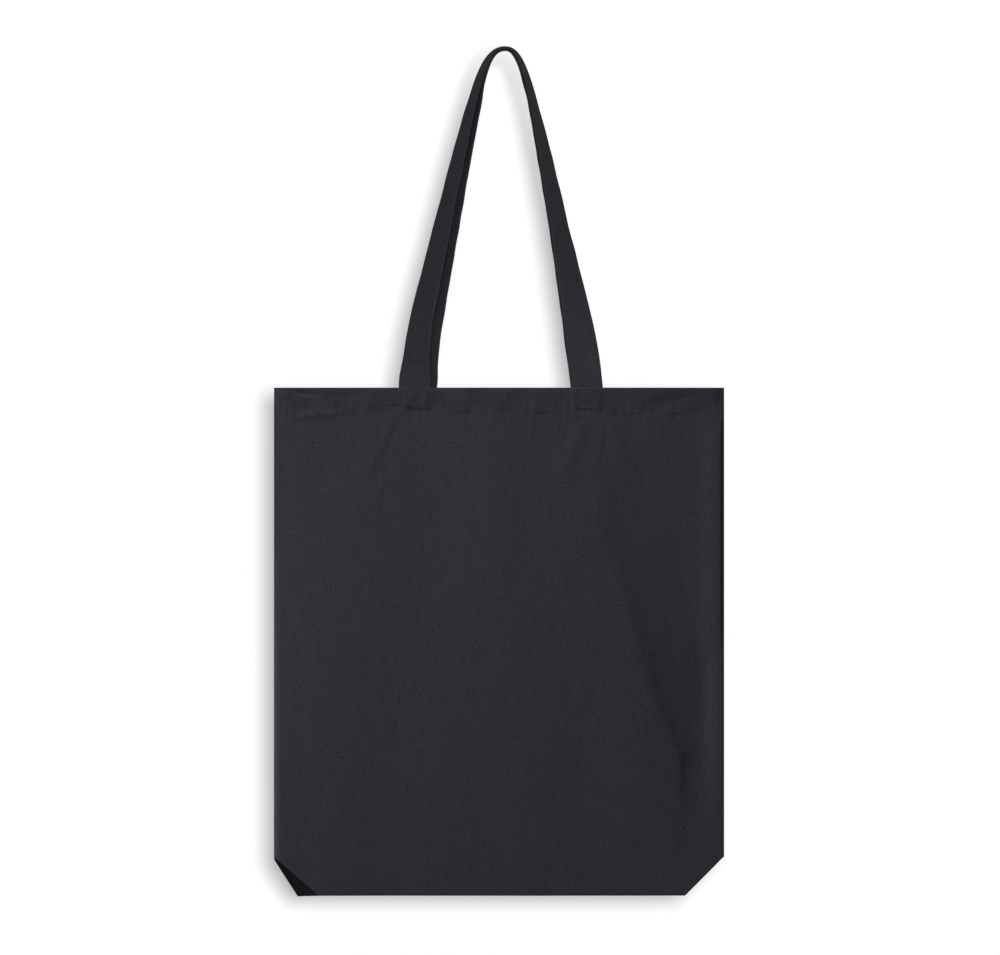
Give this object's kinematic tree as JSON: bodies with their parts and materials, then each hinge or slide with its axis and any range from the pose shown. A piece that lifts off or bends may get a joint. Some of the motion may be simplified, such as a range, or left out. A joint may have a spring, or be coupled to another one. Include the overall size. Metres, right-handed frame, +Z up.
{
  "type": "canvas tote bag",
  "caption": "Flat canvas tote bag with long strap handles, a turned and stitched hem and a boxed bottom folded up inside, hanging by its handles.",
  "frame": {"origin": "the underside of the inner handle at the top of its loop, where a peg or hook carries the hanging bag", "axes": "+Z up, +X to the right of the bag's front, +Y from the front to the back, so a carrying peg runs along Y"},
  "size_m": [0.38, 0.0316, 0.7208],
  "materials": {
    "canvas": "plain-weave cotton canvas, dark slate black, matt, with slubs and fine upright streaks",
    "strap": "the same canvas folded in layers and pressed flat, with one row of edge stitches",
    "seam": "raw cloth edges bound with overlock thread",
    "thread": "spun polyester sewing thread in the cloth's colour, slightly lustrous"
  },
  "bodies": {
    "bag_body": {"front_panel": "canvas", "front_hem": "canvas", "front_hem_stitching": "thread", "front_left_strap_end": "strap", "front_right_strap_end": "strap", "front_left_box_stitching": "thread", "front_right_box_stitching": "thread", "front_base_half": "canvas", "back_base_half": "canvas", "front_left_corner_fold": "canvas", "front_right_corner_fold": "canvas", "back_left_corner_fold": "canvas", "back_right_corner_fold": "canvas", "left_side_seam": "seam", "right_side_seam": "seam", "bottom_seam": "seam", "left_corner_seam": "seam", "right_corner_seam": "seam"},
    "back_side": {"back_panel": "canvas", "back_hem": "canvas", "back_hem_stitching": "thread", "back_left_strap_end": "strap", "back_right_strap_end": "strap", "back_left_box_stitching": "thread", "back_right_box_stitching": "thread"},
    "front_handle": {"front_handle": "strap", "front_handle_stitching": "thread"},
    "back_handle": {"back_handle": "strap", "back_handle_stitching": "thread"}
  },
  "joints": [
    {"name": "mouth_opening", "type": "hinge", "parent": "bag_body", "child": "back_side", "pos_m": [-0.005, 0.013, -0.716], "axis": [-1, 0, 0], "range_deg": [0, 6]},
    {"name": "front_handle_swing", "type": "hinge", "parent": "bag_body", "child": "front_handle", "pos_m": [-0.005, -0.01158, -0.286], "axis": [1, 0, 0], "range_deg": [0, 170]},
    {"name": "back_handle_swing", "type": "hinge", "parent": "back_side", "child": "back_handle", "pos_m": [-0.005, 0.01158, -0.286], "axis": [-1, 0, 0], "range_deg": [0, 170]}
  ]
}
